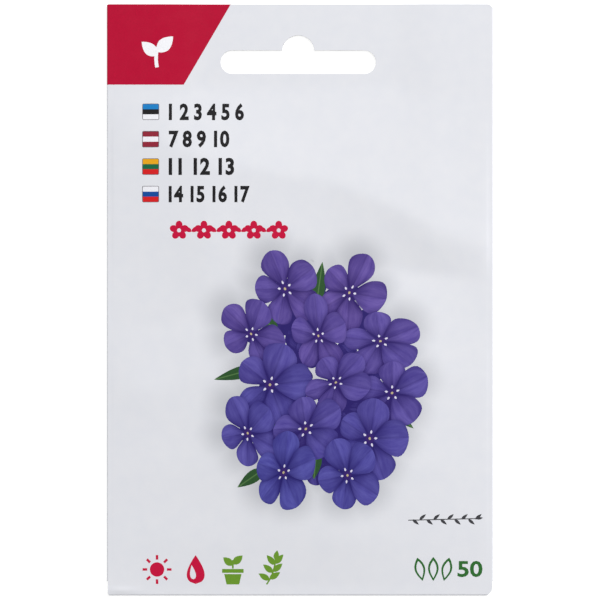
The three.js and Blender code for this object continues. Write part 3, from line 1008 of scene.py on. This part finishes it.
def ink_material(name, colour):
    """A flat printed ink, a little uneven as offset print is."""
    n = Nodes(name)
    fibre, _ = laminate(n)
    deep, pale = (tinted(colour, [1 + change] * 3) for change in (-INK_SPREAD, INK_SPREAD))
    return n.coloured(n.ranged(fibre, *NOISE_SPAN, 0, 1), deep, pale)


def paper_material():
    """White laminated paper, with the soft grey shadow that is printed round the flowers."""
    n = Nodes("printed_paper")
    _, mottle = laminate(n)
    cool = tinted(PAPER_COLOUR, PAPER_COOLING)
    white = n.mix(n.ranged(mottle, *NOISE_SPAN, 0, 1), cool, PAPER_COLOUR)
    return n.coloured(n.attribute("halo"), white, HALO_COLOUR)


def core_material():
    """The paper's own fibres, seen at its cut edges and inside."""
    n = Nodes("paper_core")
    fibre = n.noise(n.place(), 0.15, 4, 0.7)
    n.rough(fibre, 0.75, 0.9)
    n.bump(fibre, 0.4, 0.02)
    return n.coloured(fibre, linear(214, 212, 206), linear(236, 235, 230))


def petal_frame(n):
    """Along and across the petal, and its tone, from the mesh."""
    return list(n.add("ShaderNodeSeparateXYZ", {0: n.attribute("petal", "Vector")}).outputs)


def petal_half(n, along):
    """Half width of the petal there, as petal_width gives it."""
    safe = n.math("MINIMUM", n.math("MAXIMUM", along, 0.001), 0.999)
    rise = n.math("POWER", safe, PETAL_ROOT)
    fall = n.math("POWER", n.math("SUBTRACT", 1.0, safe), PETAL_TIP)
    return n.math("MULTIPLY", n.math("MULTIPLY", rise, fall), PETAL_GAIN)


def petal_streaks(n, along, fan, tone):
    """Fine streaks along the petal, other ones in each."""
    stretch = enumerate([(along, 1.8), (fan, 5.0), (tone, 40.0)])
    streak_at = {k: n.math("MULTIPLY", part, times) for k, (part, times) in stretch}
    streaks = n.noise(n.add("ShaderNodeCombineXYZ", streak_at).outputs[0], 1 / MM, 3, 0.6)
    return n.ranged(streaks, 0.25, 0.8, 0, 1)


def petal_material():
    """Blue-violet petals: darker at the foot, at the rim and on one half, with fanned streaks."""
    n = Nodes("ink_petal")
    laminate(n)
    along, across, tone = petal_frame(n)
    half = petal_half(n, along)
    out = n.math("DIVIDE", n.math("ABSOLUTE", across), n.math("MAXIMUM", half, 0.08))
    fan = n.math("DIVIDE", across, n.math("ADD", half, 0.35))
    light = n.mix(tone, linear(92, 92, 172), linear(112, 92, 166))
    middle = n.mix(tone, linear(64, 60, 144), linear(80, 62, 140))
    deep = n.mix(tone, linear(34, 26, 102), linear(44, 26, 96))
    body = n.mix(petal_streaks(n, along, fan, tone), middle, light)
    # the rim, the foot, one half and the vein, and how dark each is
    parts = [
        (n.ranged(out, 0.6, 1.05, 0, 1), 0.35),
        (n.ranged(along, 0.05, 0.55, 1, 0), 0.7),
        (n.ranged(fan, -0.15, 0.1, 0, 1), 0.28),
        (n.ranged(n.math("ABSOLUTE", fan), 0.0, 0.07, 1, 0), 0.25),
    ]
    dark = n.attribute("shade")
    for part, weight in parts:
        dark = n.math("ADD", dark, n.math("MULTIPLY", part, weight), clamp=True)
    return n.coloured(dark, body, deep)


def leaf_material():
    """Dark green leaves with a paler rib."""
    n = Nodes("ink_leaf")
    fibre, _ = laminate(n)
    _, across, _ = petal_frame(n)
    rib = n.ranged(n.math("ABSOLUTE", across), 0.0, 0.14, 0.0, 1.0)
    return n.coloured(rib, linear(86, 122, 70), n.mix(fibre, linear(28, 62, 34), linear(52, 92, 48)))


def film_material():
    """Clear film with faint haze and small wrinkles."""
    n = Nodes("sachet_film")
    wrinkles = n.noise(n.place(), 1.1, 3, 0.6)
    n.rough(wrinkles, 0.1, 0.24)
    n.set("Transmission Weight", 0.85)
    n.set("IOR", 1.5)
    n.bump(wrinkles, 0.4, 0.03)
    return n.coloured(wrinkles, linear(226, 232, 236), linear(244, 248, 250))


def glue_material():
    """Set glue: yellowish, with small bubbles and a dull shine."""
    n = Nodes("paper_glue")
    where = n.place()
    streaks = n.noise(where, 1.6, 3, 0.6)
    bubbles = n.add("ShaderNodeTexVoronoi", {"Vector": where, "Scale": 1 / (0.6 * MM)})
    n.rough(streaks, 0.3, 0.5)
    n.bump(bubbles.outputs["Distance"], 0.5, 0.02)
    return n.coloured(streaks, linear(214, 204, 176), linear(238, 232, 212))


def seed_material():
    """The dry, powdery coating of the seeds, a little speckled."""
    n = Nodes("seed_coating")
    where = n.place()
    powder = n.noise(where, 0.12, 4, 0.7)
    patches = n.noise(where, 0.7, 2, 0.5)
    n.rough(powder, 0.72, 0.9)
    n.bump(powder, 0.6, 0.03)
    tan = n.mix(patches, linear(176, 146, 102), linear(204, 180, 138))
    return n.coloured(n.ranged(powder, 0.55, 0.72, 0, 0.6), tan, linear(132, 100, 66))


# How the inks look on a screen.

INKS = {
    "crimson": (177, 2, 48),
    "white": (238, 238, 242),
    "ink_black": (28, 27, 29),
    "ink_red": (192, 12, 58),
    "ink_green": (104, 146, 44),
    "ink_grey": (62, 62, 66),
    "ink_violet": (92, 84, 160),
    "pale": (206, 208, 214),
    "seed_green": (44, 102, 44),
    "flag_rim": (96, 90, 98),
    "flag_sky": (26, 122, 190),
    "flag_white": (232, 232, 238),
    "flag_maroon": (140, 36, 54),
    "flag_gold": (226, 162, 24),
    "flag_green": (20, 100, 66),
    "flag_red": (208, 28, 30),
    "flag_blue": (12, 72, 150),
    "eye": (40, 28, 100),
    "throat": (52, 30, 104),
    "mark": (214, 210, 228),
    "pollen": (186, 170, 130),
}


def print_materials():
    made = {name: ink_material(name, linear(*rgb)) for name, rgb in INKS.items()}
    made.update(paper=paper_material(), petal=petal_material(), leaf=leaf_material())
    return made | {"core": core_material()}


# The envelope's mesh.

# How far its inner points keep from the cut edge, and how near each other points are one.
EDGE_MARGIN = 0.05
SAME_POINT = 1e-5


def blank_points(columns, rows):
    """Inner points of the blank, clear of its cut edge."""
    points = []
    for u in columns:
        low, high = lower_v(u) + EDGE_MARGIN, upper_v(u) - EDGE_MARGIN
        if abs(u) > EDGE_X - EDGE_MARGIN:
            low = max(low, FLAP_END_Y + EDGE_MARGIN)
        if abs(u) < FLAP_EDGE - EDGE_MARGIN:
            points += [(u, v) for v in rows if low < v < high]
    return points


class Skin:
    """One side of the blank in triangles: inside the first loop, outside the others, and with
    every drawn outline followed. inside lists the drawn outlines that each triangle lies in, and
    source gives each point's number in the loops or, past their last, among the rest."""

    def __init__(self, loops, drawn, points):
        coords, faces = [], []
        for loop in [*loops, *drawn]:
            faces.append(list(range(len(coords), len(coords) + len(loop))))
            coords += [Vector(p) for p in loop]
        coords += [Vector(p) for p in points]
        made = delaunay_2d_cdt(coords, [], faces, 1, SAME_POINT, True)
        first = len(loops)
        kept = []
        for corners, origin in zip(made[2], made[5]):
            if 0 in origin and not any(0 < k < first for k in origin):
                kept.append((corners, sorted(k - first for k in origin if k >= first)))
        used = sorted({i for corners, _ in kept for i in corners})
        number = {old: new for new, old in enumerate(used)}
        self.spots = [made[0][i] for i in used]
        self.source = [min(made[3][i], default=len(coords)) for i in used]
        self.triangles = [[number[i] for i in corners] for corners, _ in kept]
        self.inside = [inside for _, inside in kept]

    def points(self, side):
        """Its points in the packet. side is 1 for the outer side and -1 for the inner one."""
        placed = [place(*spot) for spot in self.spots]
        return [(point + normal * side * PAPER / 2) * MM for point, normal in placed]


def look_of(inside):
    """The top ink of a triangle, the shape that it belongs to, and how much is shaded."""
    shade = 0.0
    for k in reversed(inside):
        shape = shapes[k]
        if shape.ink != "shade":
            return shape.ink, shape, shade
        shade += shape.tone
    return "paper", None, 0.0


HALO_REACH = 5
HALO_SHIFT_X = -0.8
HALO_SHIFT_Y = 0.8
HALO_START = -2.5
HALO_DEPTH = 0.6


def halo_at(x, y):
    """The soft grey shadow printed to the upper left of the flowers."""
    best = 0.0
    for cx, cy, radius in petal_discs:
        distance = hypot(x - cx - HALO_SHIFT_X, y - cy - HALO_SHIFT_Y) - radius
        if distance < HALO_REACH:
            best = max(best, 1 - ease((distance - HALO_START) / (HALO_REACH - HALO_START)))
    return best * HALO_DEPTH


# The inner side carries no print, so its triangles are larger.
LINING_CELL = 1.6
LINING_RIM_CELL = 0.5


def printed_skin():
    columns, rows = blank_columns(), blank_rows()
    slot = slot_outline()
    back_slot = [(x / BACK_SQUEEZE, back_v(y)) for x, y in slot][::-1]
    loops = [blank_outline(columns, rows), slot, back_slot]
    return Skin(loops, [shape.outline for shape in shapes], blank_points(columns, rows))


def lining_skin(printed, rim_loops):
    """The inner side, on the same cut edge as the printed one. Also returns the number of its
    point at each point of that edge."""
    rim_loops = sorted(rim_loops, key=lambda loop: area_of([printed.spots[i] for i in loop]), reverse=True)
    loops = [rim_loops[0]] + [loop[::-1] for loop in rim_loops[1:]]
    columns = blank_columns(LINING_CELL, LINING_RIM_CELL)
    rows = blank_rows(LINING_CELL, LINING_RIM_CELL)
    lining = Skin([[printed.spots[i] for i in loop] for loop in loops], [], blank_points(columns, rows))
    on_rim = [i for loop in loops for i in loop]
    partner = {on_rim[k]: new for new, k in enumerate(lining.source) if k < len(on_rim)}
    return lining, partner


def build_envelope(materials):
    """The printed blank in its place: an outer skin, an inner skin and the cut edge between."""
    printed = printed_skin()
    rims = open_edges(printed.triangles)
    lining, partner = lining_skin(printed, closed_chains(rims))
    count = len(printed.spots)
    outer = printed.triangles
    inner = [[count + i for i in reversed(corners)] for corners in lining.triangles]
    edge = [[b, a, count + partner[a], count + partner[b]] for a, b in rims]
    piece = add_piece("packet_sheet", printed.points(1) + lining.points(-1), outer + inner + edge)
    mesh = piece.data
    looks = [look_of(inside) for inside in printed.inside]
    names = sorted(materials)
    for name in names:
        mesh.materials.append(materials[name])
    slots = [names.index(ink) for ink, _, _ in looks] + [names.index("core")] * len(inner + edge)
    mesh.polygons.foreach_set("material_index", slots)
    mesh.polygons.foreach_set("use_smooth", [True] * len(outer + inner) + [False] * len(edge))
    add_print_attributes(mesh, printed.spots, outer, looks)
    add_bake_map(mesh, printed.spots + lining.spots, (outer, inner), len(edge))
    sharpen_rims(mesh, rims + [(count + partner[a], count + partner[b]) for a, b in rims])
    return piece


def open_edges(faces):
    """Edges that only one face has, each in that face's direction."""
    edges = {}
    for corners in faces:
        for a, b in zip(corners, corners[1:] + corners[:1]):
            edges[(a, b)] = True
    return [(a, b) for a, b in edges if (b, a) not in edges]


def closed_chains(edges):
    """The loops of points that the edges link up to."""
    follows = dict(edges)
    loops = []
    while follows:
        start, here = next(iter(follows.items()))
        loop = [start]
        del follows[start]
        while here != start:
            loop.append(here)
            here = follows.pop(here)
        loops.append(loop)
    return loops


def add_piece(name, points, faces):
    mesh = bpy.data.meshes.new(name)
    mesh.from_pydata(points, [], faces)
    return add_object(name, mesh)


def pattern_of(shape, spot):
    """A place in the petal or leaf that it belongs to, and that petal's tone."""
    if shape is None or shape.pattern is None:
        return 0.0, 0.0, 0.0
    along, across = shape.pattern.local(*spot)
    return along, across, shape.tone


def add_attribute(mesh, name, kind, domain, values, count):
    """Values for the mesh's first points, faces or corners, and zeros for the rest of them."""
    attribute = mesh.attributes.new(name, kind, domain)
    key = "vector" if kind == "FLOAT_VECTOR" else "value"
    attribute.data.foreach_set(key, values + [0.0] * (count - len(values)))


def add_print_attributes(mesh, spots, outer, looks):
    halo = [halo_at(u, v) if v > FOOT_Y and abs(u) < EDGE_X else 0.0 for u, v in spots]
    add_attribute(mesh, "halo", "FLOAT", "POINT", halo, len(mesh.vertices))
    shade = [depth for _, _, depth in looks]
    add_attribute(mesh, "shade", "FLOAT", "FACE", shade, len(mesh.polygons))
    petal = []
    for corners, (_, shape, _) in zip(outer, looks):
        for i in corners:
            petal += pattern_of(shape, spots[i])
    add_attribute(mesh, "petal", "FLOAT_VECTOR", "CORNER", petal, 3 * len(mesh.loops))


# The bake map lays the sheet out on a square of this many millimetres a side.
BAKE_SPAN = 250
BAKE_MARGIN = 1


def add_bake_map(mesh, spots, sides, rim_count):
    """Lays out the blank's outer side, its inner side beside it, and its cut edge as a strip."""
    width = 2 * (FLAP_EDGE + BAKE_MARGIN)
    foot = back_v(TOP_Y) - BAKE_MARGIN
    flat = []
    for k, triangles in enumerate(sides):
        left = k * width + FLAP_EDGE + BAKE_MARGIN
        for corners in triangles:
            for i in corners:
                flat += [(spots[i][0] + left) / BAKE_SPAN, (spots[i][1] - foot) / BAKE_SPAN]
    near = (2 * width + BAKE_MARGIN) / BAKE_SPAN
    far = near + BAKE_MARGIN / BAKE_SPAN
    for k in range(rim_count):
        low, high = k / rim_count, (k + 1) / rim_count
        flat += [near, high, near, low, far, low, far, high]
    mesh.uv_layers.new(name="OFBake").uv.foreach_set("vector", flat)


def sharpen_rims(mesh, rims):
    sharp = mesh.attributes.new("sharp_edge", "BOOLEAN", "EDGE")
    cut = {frozenset(rim) for rim in rims}
    sharp.data.foreach_set("value", [frozenset(edge.vertices) in cut for edge in mesh.edges])


# Inside: the sachet's two films, the coated seeds and the glue. The films' corners and heights
# and the seeds' places come from the frame.

FILM = 0.08
FILM_CELL = 0.5
SEAL = 5
SEAL_RIB = 2
SEAL_RELIEF = 0.012
# Faint waves inside the seal, and the crinkles where the front film bulges over the seeds.
WAVES = [(4, 1, 0.7)]
WAVE_START = 2
CRINKLES = [(6, 0.07, 1.3), (2.2, 0.036, 4.9)]
CRINKLE_LIMIT = 0.045
# The patch of seeds, and how far the bulge reaches past it, as shares of its radius.
PATCH_X = 3
PATCH_Y = -23
PATCH_REACH = 12.2
BULGE_REACH = 1.55
SEEDS = [f"seed_{k:02d}" for k in range(1, 51)]
SEED_FINENESS = 3
SEED_LUMPS = 0.05
SEED_LUMP_RATE = 1.7
SEED_SHIFT = 7.3


def film_wave(x, y, low, high):
    """What both films share: ribs along the pressed seal, and faint waves inside it."""
    inset = min(x - low.x / MM, high.x / MM - x, y - low.y / MM, high.y / MM - y)
    if inset < SEAL:
        return SEAL_RELIEF * sin(2 * pi * inset / SEAL_RIB)
    return SEAL_RELIEF * layered_noise(x, y, WAVES) * ease((inset - SEAL) / WAVE_START)


def film_bulge(x, y):
    """How far the front film stands up over the seeds, from 0 to 1."""
    away = hypot(x - PATCH_X, y - PATCH_Y) / PATCH_REACH
    return ease((BULGE_REACH - away) / (BULGE_REACH - 1))


def film_heights(xs, ys, low, high, rise):
    """Heights of the film's middle, row by row."""
    rest, full = low.z / MM + FILM / 2, high.z / MM - FILM / 2
    heights = []
    for y in ys:
        for x in xs:
            bulge = film_bulge(x, y) * rise
            crinkle = min(max(layered_noise(x, y, CRINKLES), -CRINKLE_LIMIT), CRINKLE_LIMIT)
            heights.append(rest + (full - rest) * bulge + film_wave(x, y, low, high) + crinkle * bulge)
    return heights


def build_film(node, rise, material):
    """A thin film over the node's outline. rise says how much of it bulges over the seeds."""
    low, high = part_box(node)
    xs = stations([low.x / MM, high.x / MM], FILM_CELL)
    ys = stations([low.y / MM, high.y / MM], FILM_CELL)
    heights = film_heights(xs, ys, low, high, rise)
    count, row = len(heights), len(xs)
    points = []
    for side in (1, -1):
        for k, height in enumerate(heights):
            points.append(Vector((xs[k % row], ys[k // row], height + side * FILM / 2)) * MM)
    upper = [[k, k + 1, k + 1 + row, k + row] for k in range(count - row) if (k + 1) % row]
    lower = [[count + i for i in reversed(corners)] for corners in upper]
    edge = [[b, a, count + a, count + b] for a, b in open_edges(upper)]
    piece = add_piece(f"{node}_crinkled", points, upper + lower + edge)
    dress(piece, [node], material)


def build_seeds(material):
    """Every coated seed as a slightly lumpy ball in its place."""
    ball = bmesh.new()
    bmesh.ops.create_icosphere(ball, subdivisions=SEED_FINENESS, radius=1)
    shell = [vertex.co.copy() for vertex in ball.verts]
    sides = [[vertex.index for vertex in face.verts] for face in ball.faces]
    ball.free()
    points, faces = [], []
    for k, node in enumerate(SEEDS):
        low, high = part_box(node)
        faces += [[len(points) + i for i in corners] for corners in sides]
        for point in shell:
            lumps = noise.noise(point * SEED_LUMP_RATE + Vector((SEED_SHIFT * k, 0, 0)))
            lump = 1 - SEED_LUMPS + SEED_LUMPS * lumps
            points.append((low + high) / 2 + point * lump * (high.z - low.z) / 2)
    dress(add_piece("coated_seeds", points, faces), SEEDS, material)


def dress(piece, nodes, material):
    piece.data.materials.append(material)
    piece.data.polygons.foreach_set("use_smooth", [True] * len(piece.data.polygons))
    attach(piece, "root")
    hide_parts(*nodes)


def dress_glue(material):
    for node in ("header_glue", "left_seam_glue", "right_seam_glue"):
        for material_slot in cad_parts[node].material_slots:
            material_slot.material = material


# Stage, light and camera.

PIXELS_PER_MM = 4.836
FRAME_PIXELS = 600
LENS = 100
SENSOR = 36
FOCUS_Z = 1.2
FLOOR_REACH = 1.5
FLOOR_Z = -2e-5
FLOOR_GLOW = 0.85
SURROUNDINGS = 0.37
WHITE = (1, 1, 1, 1)
# The square light's place and side in metres, and its power in watts.
LIGHT_PLACE = (1.22, 1.7, 1.7)
LIGHT_SIDE = 1.11
LIGHT_POWER = 84


def add_floor():
    """A pale floor that glows like a light table, so that it shows next to no shadow."""
    n = Nodes("floor")
    n.set("Roughness", 0.9)
    n.set("Specular IOR Level", 0.1)
    n.set("Emission Color", WHITE)
    n.set("Emission Strength", FLOOR_GLOW)
    corners = [(x * FLOOR_REACH, y * FLOOR_REACH, FLOOR_Z) for x, y in ((-1, -1), (1, -1), (1, 1), (-1, 1))]
    floor = add_piece("floor", corners, [(0, 1, 2, 3)])
    grain = n.noise(n.place(), 14, 3, 0.5)
    floor.data.materials.append(n.coloured(grain, linear(148, 148, 148), linear(152, 152, 152)))


def add_light():
    data = bpy.data.lights.new("key", "AREA")
    data.shape = "SQUARE"
    data.size = LIGHT_SIDE
    data.energy = LIGHT_POWER
    light = add_object("key", data)
    light.location = LIGHT_PLACE
    light.rotation_euler = (-Vector(LIGHT_PLACE)).to_track_quat("-Z", "Y").to_euler()


def add_world():
    world = bpy.data.worlds.new("studio")
    world.use_nodes = True
    background = world.node_tree.nodes["Background"]
    background.inputs["Color"].default_value = WHITE
    background.inputs["Strength"].default_value = SURROUNDINGS
    bpy.context.scene.world = world


def add_camera():
    data = bpy.data.cameras.new("camera")
    data.lens = LENS
    data.sensor_width = SENSOR
    camera = add_object("camera", data)
    covered = FRAME_PIXELS / PIXELS_PER_MM
    camera.location = (0, 0, (covered * LENS / SENSOR + FOCUS_Z) * MM)
    bpy.context.scene.camera = camera


paint_everything()
envelope = build_envelope(print_materials())
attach(envelope, "root")
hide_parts("packet_paper")
film = film_material()
build_film("sachet_back_film", 0, film)
build_film("sachet_front_film", 1, film)
build_seeds(seed_material())
dress_glue(glue_material())
add_floor()
add_world()
add_light()
add_camera()
bpy.context.scene.view_settings.view_transform = "Standard"
